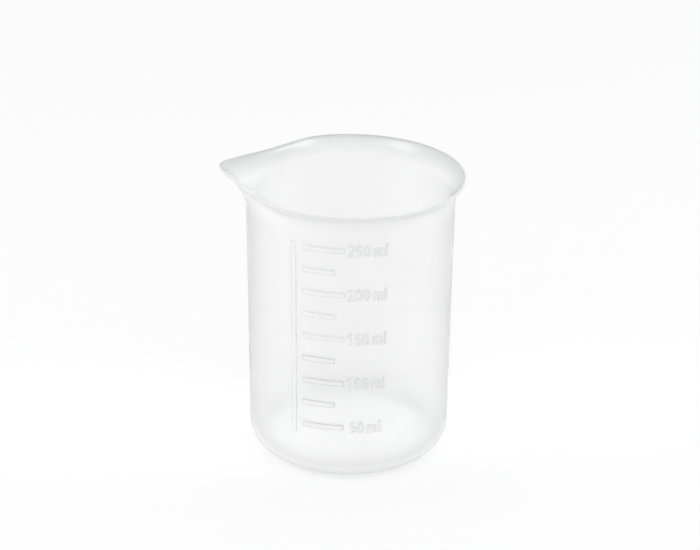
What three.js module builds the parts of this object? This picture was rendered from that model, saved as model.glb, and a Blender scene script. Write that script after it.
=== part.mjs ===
// A 250 ml measuring beaker of natural polypropylene, with a flared rim, a
// drawn-out spout and a raised scale. Millimetres, +Z up, standing on z = 0
// with its axis on Z. The spout points to -X and the scale faces -Y.

import * as THREE from "three";

// The vessel's wall and floor
const BASE_RADIUS = 32.6; // outside of the wall, carried straight down to the table
const DRAFT = THREE.MathUtils.degToRad(0.76); // lean of the wall, so that it leaves its mould
const WALL = 1.2;
const FLOOR = 3.0;
const BASE_CORNER = 9.6; // outside rounding between floor and wall

// The rim and the spout
const FLARE_RADIUS = 9.0; // outside curve under the rim
const RIM_OVERHANG = 3.25; // from the wall out to the rim's upright edge
const RIM_ROUNDING = 0.4; // between the rim's edge and the inside
const BAND_UNDER_FLARE = 3.1; // plain wall between the scale and the flare
const SPOUT_HALF_ANGLE = THREE.MathUtils.degToRad(50); // between a side of the spout and its middle
const SPOUT_TIP_RADIUS = 7.5;
const SPOUT_SIDE_OVERHANG = 1.0; // where a side of the spout passes closest to the wall
const SPOUT_BLEND = 2.0; // rounding where a side of the spout runs into the rim
const SPOUT_DEPTH = 10.0; // from the spout's root on the wall up to the rim
const SPOUT_CURVE = 1.25; // 1 draws the spout out along a straight line
const SPOUT_LIFT = 1.1; // rise of the spout's tip over the rim

// The raised scale
const LOWEST_MARK = 50; // ml
const MARK_STEP = 25; // ml
const MARK_COUNT = 9;
const MARKS_PER_LABEL = 2; // from a long mark with a label to the next
const RELIEF = 0.5; // height of the scale over the wall
const SEAT_GAP = 0.1; // joint between the wall and the scale
const MARK_WIDTH = 1.75;
const LONG_MARK = 13.7;
const SHORT_MARK = 10.8;
const RULE_WIDTH = 1.7;
const RULE_OVER_TOP_MARK = 0.5; // length of the rule past the top mark
const RULE_UNDER_LOWEST_MARK = 3.2; // length of the rule past the lowest mark
const RULE_TO_MARK = 2.2;
const MARK_TO_LABEL = 0.7;

// The labels' figures and letters
const FIGURE_HEIGHT = 4.0;
const FIGURE_WIDTH = 2.2;
const LETTER_HEIGHT = 2.8;
const LETTER_M_WIDTH = 3.2;
const STROKE = 0.66;
const FIGURE_GAP = 0.3;
const WORD_GAP = 1.1; // between the figures and the letters
const FLAG_REACH = 0.8; // of the 1, out to the left of its stem
const BOWL_SHARE = 0.62; // of a figure's height, for the bowl of 5, 6 and 9
const CROSSBAR_HEIGHT = 0.8; // of the 4, over its foot
const OPEN_END = 155; // degrees round a bowl, where the stroke of 2 and 3 ends
const FIVE_END = 135; // degrees round its bowl, where the stroke of the 5 ends
const NECK = -25; // degrees, where the 2's bowl runs into its slope
const SHOULDER = 95; // degrees, where the 5's bowl starts
const HOOK_END = 50; // degrees, where the stroke of 6 and 9 starts
const LOOP_END = 465; // degrees, where it closes on itself

// Facets
const ROUND_FACETS = 80;
const FACET_CROWDING = 0.4; // share by which facets are narrower at the spout
const CORNER_FACETS = 7;
const FLARE_FACETS = 7;
const RIM_FACETS = 3;
const ROOT_FACETS = 3;
const MARK_FACETS = 8;
const CURVE_FACETS = 8;

// Search for the level of a liquid
const CUBIC_MILLIMETRES_PER_MILLILITRE = 1000;
const LEVEL_SLICES = 400;
const LEVEL_HALVINGS = 40;

// Radius of the wall's outside and inside at a height, on its straight part
const insideBaseRadius = BASE_RADIUS - WALL / Math.cos(DRAFT);
const outsideRadius = (z) => BASE_RADIUS + z * Math.tan(DRAFT);
const insideRadius = (z) => insideBaseRadius + z * Math.tan(DRAFT);

// A base corner's arc is tangent to its floor and to its wall.
function cornerArc(wallBaseRadius, floorHeight, radius) {
  const middleHeight = floorHeight + radius;
  const middleRadius = wallBaseRadius + middleHeight * Math.tan(DRAFT) - radius / Math.cos(DRAFT);
  return { middleRadius, middleHeight, radius };
}

const outsideCorner = cornerArc(BASE_RADIUS, 0, BASE_CORNER);
const insideCorner = cornerArc(insideBaseRadius, FLOOR, BASE_CORNER - WALL);

function arcPoints(middle, radius, from, to, facets) {
  const clockwise = to < from;
  const arc = new THREE.EllipseCurve(middle.x, middle.y, radius, radius, from, to, clockwise);
  return arc.getPoints(facets);
}

function cornerPoints(corner) {
  const middle = new THREE.Vector2(corner.middleRadius, corner.middleHeight);
  return arcPoints(middle, corner.radius, -Math.PI / 2, -DRAFT, CORNER_FACETS);
}

// The height that a volume of liquid reaches inside, found by halving
function radiusOfLiquid(z) {
  const drop = insideCorner.middleHeight - z;
  if (drop <= insideCorner.radius * Math.sin(DRAFT)) return insideRadius(z);
  return insideCorner.middleRadius + Math.sqrt(Math.max(insideCorner.radius ** 2 - drop ** 2, 0));
}

function volumeBelow(z) {
  const thickness = (z - FLOOR) / LEVEL_SLICES;
  let cubicMillimetres = 0;
  for (let i = 0; i < LEVEL_SLICES; i += 1) {
    const radius = radiusOfLiquid(FLOOR + (i + 0.5) * thickness);
    cubicMillimetres += Math.PI * radius ** 2 * thickness;
  }
  return cubicMillimetres / CUBIC_MILLIMETRES_PER_MILLILITRE;
}

function levelOf(millilitres) {
  let low = FLOOR;
  let high = 2 * FLOOR;
  while (volumeBelow(high) < millilitres) high *= 2;
  for (let i = 0; i < LEVEL_HALVINGS; i += 1) {
    const middle = (low + high) / 2;
    if (volumeBelow(middle) < millilitres) low = middle;
    else high = middle;
  }
  return low;
}

// The marks stand at whole millilitres, with their lower edges on the level.
const markVolume = (_, i) => Math.round(LOWEST_MARK + i * MARK_STEP);
const markVolumes = Array.from({ length: MARK_COUNT }, markVolume);
const capacity = markVolumes.at(-1);

// The rule runs past the end marks, and the flare starts over the rule.
const ruleBottom = levelOf(markVolumes[0]) - RULE_UNDER_LOWEST_MARK;
const ruleTop = levelOf(capacity) + MARK_WIDTH + RULE_OVER_TOP_MARK;
const flareHeight = ruleTop + BAND_UNDER_FLARE;

// The flare's arcs share a middle outside the wall. The outer one ends at the
// rim's upright edge, and the inner one runs into the rounding over that edge.
const flareMiddle = new THREE.Vector2(
  outsideRadius(flareHeight) + FLARE_RADIUS * Math.cos(DRAFT),
  flareHeight - FLARE_RADIUS * Math.sin(DRAFT),
);
const rimRadius = outsideRadius(flareHeight) + RIM_OVERHANG;
const roundingReach = FLARE_RADIUS + WALL - RIM_ROUNDING;
const outerLean = Math.acos((flareMiddle.x - rimRadius) / FLARE_RADIUS);
const innerLean = Math.acos((flareMiddle.x - rimRadius + RIM_ROUNDING) / roundingReach);
const roundingMiddle = new THREE.Vector2(
  rimRadius - RIM_ROUNDING,
  flareMiddle.y + roundingReach * Math.sin(innerLean),
);
const rimHeight = roundingMiddle.y + RIM_ROUNDING;
const spoutRoot = rimHeight - SPOUT_DEPTH;

// The spout's sides are straight in plan, and a round tip joins them.
const sideDistance = outsideRadius(flareHeight) + SPOUT_SIDE_OVERHANG;
const sideNormal = Math.PI / 2 - SPOUT_HALF_ANGLE;
const tipMiddle = (sideDistance - SPOUT_TIP_RADIUS) / Math.sin(SPOUT_HALF_ANGLE);
const tipEnd = Math.atan2(
  SPOUT_TIP_RADIUS * Math.sin(sideNormal),
  tipMiddle + SPOUT_TIP_RADIUS * Math.cos(sideNormal),
);

function smoothMinimum(a, b, blend) {
  const share = Math.max(blend - Math.abs(a - b), 0) / blend;
  return Math.min(a, b) - (share ** 2 * blend) / 4;
}

// The rim's distance from the axis, by the angle from the spout's middle
function rimReach(angle) {
  const turn = Math.abs(angle);
  if (turn <= tipEnd) {
    const across = tipMiddle * Math.sin(turn);
    return tipMiddle * Math.cos(turn) + Math.sqrt(SPOUT_TIP_RADIUS ** 2 - across ** 2);
  }
  if (turn - sideNormal >= Math.PI / 2) return rimRadius;
  const side = sideDistance / Math.cos(turn - sideNormal);
  return turn <= sideNormal ? side : smoothMinimum(side, rimRadius, SPOUT_BLEND);
}

// The rim's rise over its own height, from nothing beside the spout to its tip
function rimLift(angle) {
  const share = Math.min(Math.abs(angle) / sideNormal, 1);
  return SPOUT_LIFT * Math.cos((share * Math.PI) / 2) ** 2;
}

// Points up a wall from one height to another, leaving out the first
function wallPoints(radiusAt, fromHeight, toHeight, facets) {
  const points = [];
  for (let i = 1; i <= facets; i += 1) {
    const height = THREE.MathUtils.lerp(fromHeight, toHeight, i / facets);
    points.push(new THREE.Vector2(radiusAt(height), height));
  }
  return points;
}

// The profile runs out along the underside, up the outside, over the rim and
// down the inside to the middle of the floor.
function vesselProfile() {
  const outside = [
    ...cornerPoints(outsideCorner),
    new THREE.Vector2(outsideRadius(spoutRoot), spoutRoot),
    ...wallPoints(outsideRadius, spoutRoot, flareHeight, ROOT_FACETS),
    ...arcPoints(flareMiddle, FLARE_RADIUS, Math.PI - DRAFT, Math.PI - outerLean, FLARE_FACETS).slice(1),
  ];
  const rim = arcPoints(roundingMiddle, RIM_ROUNDING, 0, Math.PI - innerLean, RIM_FACETS).slice(0, -1);
  const inside = [
    ...cornerPoints(insideCorner),
    new THREE.Vector2(insideRadius(spoutRoot), spoutRoot),
    ...wallPoints(insideRadius, spoutRoot, flareHeight, ROOT_FACETS).slice(0, -1),
    ...arcPoints(flareMiddle, FLARE_RADIUS + WALL, Math.PI - DRAFT, Math.PI - innerLean, FLARE_FACETS),
  ];
  const bottom = new THREE.Vector2(0, 0);
  const floorMiddle = new THREE.Vector2(0, FLOOR);
  return [bottom, ...outside, ...rim, ...inside.reverse(), floorMiddle];
}

// The turned vessel stands on the table, and the spout is drawn out of its rim:
// a point moves by what the rim moves above it, less and less down to the root.
function makeVessel() {
  const geometry = new THREE.LatheGeometry(vesselProfile(), ROUND_FACETS);
  const position = geometry.attributes.position;
  for (let i = 0; i < position.count; i += 1) {
    const even = Math.atan2(position.getX(i), position.getZ(i));
    const angle = even - FACET_CROWDING * Math.sin(even);
    const height = position.getY(i);
    const drawn = (Math.max(height - spoutRoot, 0) / SPOUT_DEPTH) ** SPOUT_CURVE;
    const turnedRadius = Math.hypot(position.getX(i), position.getZ(i));
    const radius = turnedRadius + drawn * (rimReach(angle) - rimRadius);
    const lifted = height + drawn * rimLift(angle);
    position.setXYZ(i, -radius * Math.cos(angle), -radius * Math.sin(angle), lifted);
  }
  geometry.computeVertexNormals();
  return geometry;
}

// Figures and letters stand on y = 0 and start at x = 0.
// A stroke of even width along points, with mitred turns
function strokeShape(points) {
  const left = [];
  const right = [];
  points.forEach((point, i) => {
    const before = point.clone().sub(points[Math.max(i - 1, 0)]).normalize();
    const after = points[Math.min(i + 1, points.length - 1)].clone().sub(point).normalize();
    const along = before.clone().add(after).normalize();
    const aside = new THREE.Vector2(-along.y, along.x);
    const whole = i === 0 ? after : before;
    const reach = STROKE / 2 / Math.abs(aside.x * -whole.y + aside.y * whole.x);
    left.push(point.clone().addScaledVector(aside, reach));
    right.unshift(point.clone().addScaledVector(aside, -reach));
  });
  return new THREE.Shape([...left, ...right]);
}

// Round figures are made of bowls as wide as the figure. An arc runs along a
// bowl's outside, or inset from it.
const halfWidth = FIGURE_WIDTH / 2;
const halfStroke = STROKE / 2;
const opticalShift = STROKE / 4;
const wholeBowl = { middle: FIGURE_HEIGHT / 2, half: FIGURE_HEIGHT / 2 };
const bowlHalf = (BOWL_SHARE * FIGURE_HEIGHT) / 2;
const lowBowl = { middle: bowlHalf, half: bowlHalf };
const loopHalf = (FIGURE_HEIGHT + STROKE) / 4;
const lowerLoop = { middle: loopHalf, half: loopHalf };
const upperLoop = { middle: FIGURE_HEIGHT - loopHalf, half: loopHalf };
const hookBowl = { middle: FIGURE_HEIGHT - halfWidth, half: halfWidth };

function addArc(path, bowl, inset, fromDegrees, toDegrees) {
  const from = THREE.MathUtils.degToRad(fromDegrees);
  const to = THREE.MathUtils.degToRad(toDegrees);
  const clockwise = to < from;
  path.absellipse(halfWidth, bowl.middle, halfWidth - inset, bowl.half - inset, from, to, clockwise);
  return path;
}

function strokeArc(bowl, fromDegrees, toDegrees) {
  const arc = addArc(new THREE.Path(), bowl, halfStroke, fromDegrees, toDegrees);
  return arc.getPoints(CURVE_FACETS);
}

const bowlHole = (bowl) => addArc(new THREE.Path(), bowl, STROKE, 0, 360);
const outline = (corners) => new THREE.Shape(corners.map(([x, y]) => new THREE.Vector2(x, y)));

function zeroShape() {
  const shape = addArc(new THREE.Shape(), wholeBowl, 0, 0, 360);
  shape.holes.push(bowlHole(wholeBowl));
  return shape;
}

function oneShape() {
  const stemLeft = halfWidth - opticalShift;
  const flagLeft = stemLeft - FLAG_REACH;
  return outline([
    [stemLeft, 0],
    [stemLeft + STROKE, 0],
    [stemLeft + STROKE, FIGURE_HEIGHT],
    [stemLeft, FIGURE_HEIGHT],
    [flagLeft, FIGURE_HEIGHT - STROKE],
    [flagLeft, FIGURE_HEIGHT - 2 * STROKE],
    [stemLeft, FIGURE_HEIGHT - STROKE - opticalShift],
  ]);
}

function twoShape() {
  return strokeShape([
    ...strokeArc(hookBowl, OPEN_END, NECK),
    new THREE.Vector2(STROKE, halfStroke),
    new THREE.Vector2(FIGURE_WIDTH, halfStroke),
  ]);
}

// The two loops of 3 and 8 share a stroke in the middle, and their outsides
// cross at the waist.
const waist = THREE.MathUtils.radToDeg(Math.asin(1 - halfStroke / loopHalf));

function threeShape() {
  const shape = addArc(new THREE.Shape(), lowerLoop, 0, -OPEN_END, waist);
  addArc(shape, upperLoop, 0, -waist, OPEN_END);
  addArc(shape, upperLoop, STROKE, OPEN_END, -90);
  addArc(shape, lowerLoop, STROKE, 90, -OPEN_END);
  return shape;
}

function fourShape() {
  const barTop = CROSSBAR_HEIGHT + STROKE;
  const stemLeft = FIGURE_WIDTH - 2 * STROKE;
  const stemRight = FIGURE_WIDTH - STROKE;
  const shape = outline([
    [stemLeft, 0],
    [stemRight, 0],
    [stemRight, CROSSBAR_HEIGHT],
    [FIGURE_WIDTH, CROSSBAR_HEIGHT],
    [FIGURE_WIDTH, barTop],
    [stemRight, barTop],
    [stemRight, FIGURE_HEIGHT],
    [stemLeft, FIGURE_HEIGHT],
    [0, barTop],
    [0, CROSSBAR_HEIGHT],
    [stemLeft, CROSSBAR_HEIGHT],
  ]);
  const insideTop = FIGURE_HEIGHT - 2 * STROKE;
  shape.holes.push(outline([[stemLeft, barTop], [stemLeft, insideTop], [STROKE, barTop]]));
  return shape;
}

function fiveShape() {
  const barMiddle = FIGURE_HEIGHT - halfStroke;
  const bowl = strokeArc(lowBowl, SHOULDER, -FIVE_END);
  return strokeShape([
    new THREE.Vector2(FIGURE_WIDTH - opticalShift, barMiddle),
    new THREE.Vector2(STROKE, barMiddle),
    new THREE.Vector2(halfStroke + opticalShift, bowl[0].y),
    ...bowl,
  ]);
}

const sixPoints = [
  ...strokeArc(wholeBowl, HOOK_END, 180),
  ...strokeArc(lowBowl, 180, LOOP_END),
];
const sixShape = () => strokeShape(sixPoints);

function sevenShape() {
  const barBottom = FIGURE_HEIGHT - STROKE;
  return outline([
    [STROKE, 0],
    [2 * STROKE, 0],
    [FIGURE_WIDTH, barBottom],
    [FIGURE_WIDTH, FIGURE_HEIGHT],
    [0, FIGURE_HEIGHT],
    [0, barBottom],
    [FIGURE_WIDTH - STROKE, barBottom],
  ]);
}

function eightShape() {
  const shape = addArc(new THREE.Shape(), lowerLoop, 0, 180 - waist, 360 + waist);
  addArc(shape, upperLoop, 0, -waist, 180 + waist);
  shape.holes.push(bowlHole(lowerLoop), bowlHole(upperLoop));
  return shape;
}

// The 9 is the 6 turned upside down.
function nineShape() {
  const corner = new THREE.Vector2(FIGURE_WIDTH, FIGURE_HEIGHT);
  return strokeShape(sixPoints.map((point) => corner.clone().sub(point)));
}

function letterMShape() {
  const archRadius = (LETTER_M_WIDTH - 3 * STROKE) / 4;
  const spring = LETTER_HEIGHT - STROKE - archRadius;
  const shape = new THREE.Shape();
  shape.moveTo(0, 0);
  for (const stem of [0, 1]) {
    const stemRight = stem * (STROKE + 2 * archRadius) + STROKE;
    shape.lineTo(stemRight, 0);
    shape.lineTo(stemRight, spring);
    shape.absarc(stemRight + archRadius, spring, archRadius, Math.PI, 0, true);
    shape.lineTo(stemRight + 2 * archRadius, 0);
  }
  shape.lineTo(LETTER_M_WIDTH, 0);
  shape.lineTo(LETTER_M_WIDTH, spring);
  const shoulder = archRadius + STROKE;
  shape.absarc(LETTER_M_WIDTH - shoulder, spring, shoulder, 0, Math.PI / 2, false);
  shape.lineTo(0, LETTER_HEIGHT);
  return shape;
}

const letterLShape = () => outline([[0, 0], [STROKE, 0], [STROKE, FIGURE_HEIGHT], [0, FIGURE_HEIGHT]]);

const figureShapes = [
  zeroShape, oneShape, twoShape, threeShape, fourShape,
  fiveShape, sixShape, sevenShape, eightShape, nineShape,
];

// A flat piece of the scale lies on the wall: x runs round it from the scale's
// middle, y goes up and z stands out.
const scaleRadius = outsideRadius((ruleBottom + ruleTop) / 2);
const reliefDepth = RELIEF - SEAT_GAP;

function layOnWall(geometry, along, height) {
  const position = geometry.attributes.position;
  for (let i = 0; i < position.count; i += 1) {
    const angle = (along + position.getX(i)) / scaleRadius;
    const z = height + position.getY(i);
    const radius = outsideRadius(z) + SEAT_GAP + position.getZ(i);
    position.setXYZ(i, radius * Math.sin(angle), -radius * Math.cos(angle), z);
  }
  geometry.computeVertexNormals();
  return geometry;
}

function makeBar(width, height, facets, along, bottom) {
  const geometry = new THREE.BoxGeometry(width, height, reliefDepth, facets, 1, 1);
  geometry.translate(width / 2, height / 2, reliefDepth / 2);
  return layOnWall(geometry, along, bottom);
}

function makeFigure(shape, along, bottom) {
  const geometry = new THREE.ExtrudeGeometry(shape, {
    depth: reliefDepth,
    bevelEnabled: false,
    curveSegments: CURVE_FACETS,
  });
  return layOnWall(geometry, along, bottom);
}

function polypropylene() {
  return new THREE.MeshStandardMaterial({
    color: 0xf4f5f5,
    roughness: 0.35,
    metalness: 0,
    transparent: true,
    opacity: 0.55,
  });
}

const beaker = new THREE.Group();

function addPiece(name, geometry) {
  const mesh = new THREE.Mesh(geometry, polypropylene());
  mesh.name = name;
  beaker.add(mesh);
}

// A label's figures and letters, from left to right, with what each takes up
function labelPieces(millilitres) {
  const figures = [...String(millilitres)].map((figure, i) => ({
    name: `figure_${i + 1}`,
    shape: figureShapes[figure](),
    width: FIGURE_WIDTH,
    gap: FIGURE_GAP,
  }));
  figures.at(-1).gap = WORD_GAP;
  return [
    ...figures,
    { name: "letter_m", shape: letterMShape(), width: LETTER_M_WIDTH, gap: FIGURE_GAP + opticalShift },
    { name: "letter_l", shape: letterLShape(), width: STROKE, gap: 0 },
  ];
}

const labelLength = (pieces) => pieces.reduce((length, piece) => length + piece.width + piece.gap, 0);

// The scale is centred on the front: the rule, the marks, then the labels.
const longestLabel = labelLength(labelPieces(capacity));
const scaleWidth = RULE_WIDTH + RULE_TO_MARK + LONG_MARK + MARK_TO_LABEL + longestLabel;
const ruleLeft = -scaleWidth / 2;
const marksLeft = ruleLeft + RULE_WIDTH + RULE_TO_MARK;
const labelsMiddle = scaleWidth / 2 - longestLabel / 2;

function addLabel(millilitres, markMiddle) {
  const pieces = labelPieces(millilitres);
  let along = labelsMiddle - labelLength(pieces) / 2;
  for (const piece of pieces) {
    const geometry = makeFigure(piece.shape, along, markMiddle - FIGURE_HEIGHT / 2);
    addPiece(`label_${millilitres}_${piece.name}`, geometry);
    along += piece.width + piece.gap;
  }
}

addPiece("vessel", makeVessel());
addPiece("scale_rule", makeBar(RULE_WIDTH, ruleTop - ruleBottom, 1, ruleLeft, ruleBottom));
markVolumes.forEach((millilitres, i) => {
  const level = levelOf(millilitres);
  const labelled = i % MARKS_PER_LABEL === 0;
  const length = labelled ? LONG_MARK : SHORT_MARK;
  addPiece(`mark_${millilitres}`, makeBar(length, MARK_WIDTH, MARK_FACETS, marksLeft, level));
  if (labelled) addLabel(millilitres, level + MARK_WIDTH / 2);
});

export default beaker;
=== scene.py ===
"""A 250 ml measuring beaker of natural polypropylene, with its raised scale and a white stage."""

import math

import bmesh
import bpy
from bpy.props import FloatProperty, FloatVectorProperty, IntProperty, PointerProperty
from mathutils import Matrix, Vector


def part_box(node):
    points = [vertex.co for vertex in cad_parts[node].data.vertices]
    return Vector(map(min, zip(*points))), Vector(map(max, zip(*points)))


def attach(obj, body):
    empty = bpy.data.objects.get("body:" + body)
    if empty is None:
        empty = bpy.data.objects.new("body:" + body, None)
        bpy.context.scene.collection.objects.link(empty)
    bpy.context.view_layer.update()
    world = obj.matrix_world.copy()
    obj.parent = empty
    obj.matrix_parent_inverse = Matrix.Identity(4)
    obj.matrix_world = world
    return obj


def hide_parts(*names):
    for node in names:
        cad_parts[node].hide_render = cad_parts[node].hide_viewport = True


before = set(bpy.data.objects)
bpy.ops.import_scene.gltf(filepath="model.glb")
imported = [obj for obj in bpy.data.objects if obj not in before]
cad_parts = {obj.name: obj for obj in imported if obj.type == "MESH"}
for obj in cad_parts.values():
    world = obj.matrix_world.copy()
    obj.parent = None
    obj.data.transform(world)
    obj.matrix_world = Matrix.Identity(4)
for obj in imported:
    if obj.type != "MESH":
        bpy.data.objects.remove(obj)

bl_info = {
    "name": "Measuring Beaker",
    "version": (1, 0, 0),
    "blender": (4, 5, 0),
    "location": "3D View > Sidebar > Beaker",
    "description": "Builds a translucent measuring beaker with a spout and a raised scale",
    "category": "Add Mesh",
}

BODY = "root"
MM = 0.001
BASE_RADIUS = 32.6 * MM
DRAFT = math.radians(0.76)
WELD = 0.001 * MM

# Attributes that the finishes read: how much painted shade an edge takes, and what is outside
EDGE = "edge"
OUTSIDE = "outside"

# Attributes of a bar's point: whether it is long, and its share of the painted edge shade
LONG = "long"
SHADE_SHARE = "cut"

# Kinds of node that most of the trees use
MATH = "ShaderNodeMath"
VECTOR_MATH = "ShaderNodeVectorMath"
MAP_RANGE = "ShaderNodeMapRange"


def linear(colour):
    """A linear colour from an sRGB hex value such as F2F3F3."""
    shares = [int(colour[i : i + 2], 16) / 255 for i in (0, 2, 4)]
    return tuple(s / 12.92 if s <= 0.04045 else ((s + 0.055) / 1.055) ** 2.4 for s in shares)


# Where the CAD pieces of the scale lie on the wall


def node_names(start):
    """The CAD nodes whose names start with these words, in order of height."""
    names = [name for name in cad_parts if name.startswith(start)]
    return sorted(names, key=lambda name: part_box(name)[0].z)


def spread(names):
    """The lowest and highest angle round the wall, and height, that CAD nodes take up."""
    points = [vertex.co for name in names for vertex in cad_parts[name].data.vertices]
    angles = [math.atan2(point.x, -point.y) for point in points]
    heights = [point.z for point in points]
    return min(angles), max(angles), min(heights), max(heights)


MARKS = node_names("mark_")
LABELS = [name for name in MARKS if node_names(name.replace("mark_", "label_") + "_")]
RULE_BOX = spread(["scale_rule"])
LONG_BOX = spread(LABELS)
SHORT_BOX = spread([name for name in MARKS if name not in LABELS])
SCALE_MIDDLE = (RULE_BOX[2] + RULE_BOX[3]) / 2
SCALE_RADIUS = BASE_RADIUS + math.tan(DRAFT) * SCALE_MIDDLE


# Settings that a user can change


def length_setting(name, description, default):
    """A length in metres."""
    return FloatProperty(name=name, description=description, default=default, unit="LENGTH")


def angle_setting(name, description, default):
    """An angle in radians."""
    return FloatProperty(name=name, description=description, default=default, subtype="ANGLE")


def share_setting(name, description, default):
    """A share from 0 to 1."""
    return FloatProperty(
        name=name, description=description, default=default, min=0, max=1, subtype="FACTOR"
    )


def colour_setting(name, description, default):
    """A colour, from its sRGB hex value."""
    return FloatVectorProperty(
        name=name,
        description=description,
        default=linear(default),
        size=3,
        min=0,
        max=1,
        subtype="COLOR",
    )


class BeakerVesselSizes(bpy.types.PropertyGroup):
    """Sizes of the vessel's wall, floor, rim and spout."""

    base_radius: length_setting(
        "Base radius", "Outside of the wall, carried straight down to the table", BASE_RADIUS
    )
    draft: angle_setting("Draft", "Lean of the wall, so that it leaves its mould", DRAFT)
    wall: length_setting("Wall", "Thickness of the wall", 1.2 * MM)
    floor: length_setting("Floor", "Thickness of the floor", 3.0 * MM)
    base_corner: length_setting("Base corner", "Outside rounding between floor and wall", 9.6 * MM)
    flare_height: length_setting(
        "Flare height",
        "Height at which the wall starts to curve out under the rim",
        RULE_BOX[3] + 3.1 * MM,
    )
    flare_radius: length_setting("Flare radius", "Outside curve under the rim", 9.0 * MM)
    rim_overhang: length_setting(
        "Rim overhang", "From the wall out to the rim's upright edge", 3.24 * MM
    )
    rim_rounding: length_setting("Rim rounding", "Between the rim's edge and the inside", 0.4 * MM)
    rim_foot: length_setting(
        "Rim foot", "Distance over which the lower corner of the rim's edge is rounded", 0.4 * MM
    )
    spout_half_angle: angle_setting(
        "Spout half angle", "Between a side of the spout and its middle", math.radians(50)
    )
    spout_tip_radius: length_setting(
        "Spout tip radius", "Rounding of the spout's tip, seen from above", 7.5 * MM
    )
    spout_side_overhang: length_setting(
        "Spout side overhang", "Where a side of the spout passes closest to the wall", 1.0 * MM
    )
    spout_blend: length_setting(
        "Spout blend", "Rounding where a side of the spout runs into the rim", 2.0 * MM
    )
    spout_depth: length_setting(
        "Spout depth", "From the spout's root on the wall up to the rim", 10.0 * MM
    )
    spout_curve: FloatProperty(
        name="Spout curve",
        description="1 draws the spout out along a straight line",
        default=1.25,
    )
    spout_lift: length_setting("Spout lift", "Rise of the spout's tip over the rim", 1.1 * MM)
    ring_steps: IntProperty(name="Ring steps", description="Faces round the vessel", default=288)
    ring_crowding: share_setting(
        "Ring crowding", "Share by which faces are narrower at the spout", 0.4
    )
    arc_steps: IntProperty(
        name="Arc steps", description="Faces along each rounding of the profile", default=18
    )


class BeakerScaleSizes(bpy.types.PropertyGroup):
    """Sizes of the raised scale."""

    relief: length_setting("Relief", "Height of the scale over the wall", 0.5 * MM)
    sink: length_setting("Sink", "Depth to which the scale runs into the wall", 0.05 * MM)
    side_draft: length_setting(
        "Side draft", "Distance over which a raised bar's sides slope in", 0.05 * MM
    )
    # The margins along the top edges carry painted shade
    label_margin: length_setting(
        "Label margin", "Margin along the top edges of the figures and letters", 0.13 * MM
    )
    bar_margin: length_setting(
        "Bar margin", "Margin along the top edges of a raised bar", 0.14 * MM
    )
    bar_steps: IntProperty(name="Bar steps", description="Faces along a raised bar", default=24)
    # Shares of the painted shade along the edges of the raised scale; the marks of the lower half
    # take the most
    low_mark_shade: share_setting(
        "Low mark shade",
        "Share of the edge colour on the marks of the scale's lower half, which are sharpest",
        0.68,
    )
    high_mark_shade: share_setting(
        "High mark shade", "The same share on the marks of the scale's upper half", 0.4
    )
    rule_shade: share_setting("Rule shade", "The same share on the rule", 0.36)
    label_cut: share_setting("Label shade", "The same share on the figures and letters", 0.48)
    side_shade: share_setting(
        "Side cut", "How much of a piece's own share its sides take, beside its margins", 0.5
    )


class BeakerFinish(bpy.types.PropertyGroup):
    """Colours and clarity of the moulded plastic, with the colours of its painted shade."""

    plastic: colour_setting("Plastic", "Colour of the wall", "FEFEFE")
    # Grey tint for the milkier plastic, also painted as shade inside the flare, along the rim's
    # edge and in a ring at the inside corner
    milk_and_shade: colour_setting(
        "Milk and shade", "Colour at the rim and the base corner, where the plastic is milkier", "D3D4D4"
    )
    # Painted shade: the darker colour along the sides and top margins of the raised scale
    relief_edge_shade: colour_setting(
        "Relief edge shade", "Colour along the edges of the raised scale", "A4A5A5"
    )
    board: colour_setting("Board", "Colour of the stage's floor", "F0F0F0")
    clarity: share_setting(
        "Clarity",
        "Share of light that passes a face of the wall without being scattered back",
        0.8,
    )
    thick_clarity: share_setting(
        "Thick clarity", "The same share at the thick floor and the edge of the rim", 0.12
    )
    relief_clarity: share_setting(
        "Relief clarity", "The same share at the raised scale, which catches more light", 0.6
    )
    bend: FloatProperty(
        name="Bend",
        description="Refraction of the thin wall as a whole, less than that of solid plastic",
        default=1.15,
        min=1,
    )
    relief_bend: FloatProperty(
        name="Relief bend",
        description="Refraction of the raised scale, which is one with the wall behind it",
        default=1.05,
        min=1,
    )
    edge_on: share_setting(
        "Edge on", "How much milkier the wall looks where it is seen edge-on", 0.58
    )
    satin: share_setting("Satin", "Roughness of the moulded surface", 0.32)
    gloss: share_setting("Gloss", "Strength of the reflections on the surface", 0.45)
    lit_through: share_setting(
        "Lit through",
        "Share of lamplight that goes straight on, so that the shadow is pale",
        0.985,
    )


class BeakerStageSettings(bpy.types.PropertyGroup):
    """The camera, floor and lamps."""

    azimuth: angle_setting(
        "Azimuth", "Turn of the camera round the beaker from the scale", math.radians(6.4)
    )
    elevation: angle_setting(
        "Elevation",
        "Height of the camera over the horizon, seen from the beaker",
        math.radians(24.58),
    )
    distance: length_setting("Distance", "From the camera to the beaker's middle", 892 * MM)
    middle_height: length_setting("Middle height", "Height of the beaker's middle", 44.6 * MM)
    pitch: angle_setting(
        "Pitch", "Tilt of the camera up from looking straight down", math.radians(66.31)
    )
    roll: angle_setting(
        "Roll", "Turn of the camera about its own line of sight", math.radians(0.595)
    )
    lens: FloatProperty(
        name="Lens",
        description="Focal length on a sensor 36 mm wide",
        default=139.77,
        unit="CAMERA",
    )
    floor_size: length_setting("Floor size", "Side of the square floor", 6)
    left_power: FloatProperty(
        name="Left lamp", description="Power of the lamp at the left", default=21.6, unit="POWER"
    )
    right_power: FloatProperty(
        name="Right lamp", description="Power of the lamp at the right", default=23.4, unit="POWER"
    )
    lamp_width: length_setting("Lamp width", "Width of each lamp", 1.08)
    lamp_length: length_setting("Lamp length", "Length of each lamp, upwards", 1.5)
    sky_fill: FloatProperty(name="Sky fill", description="Light from all round", default=0.81)


# Building pieces


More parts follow.
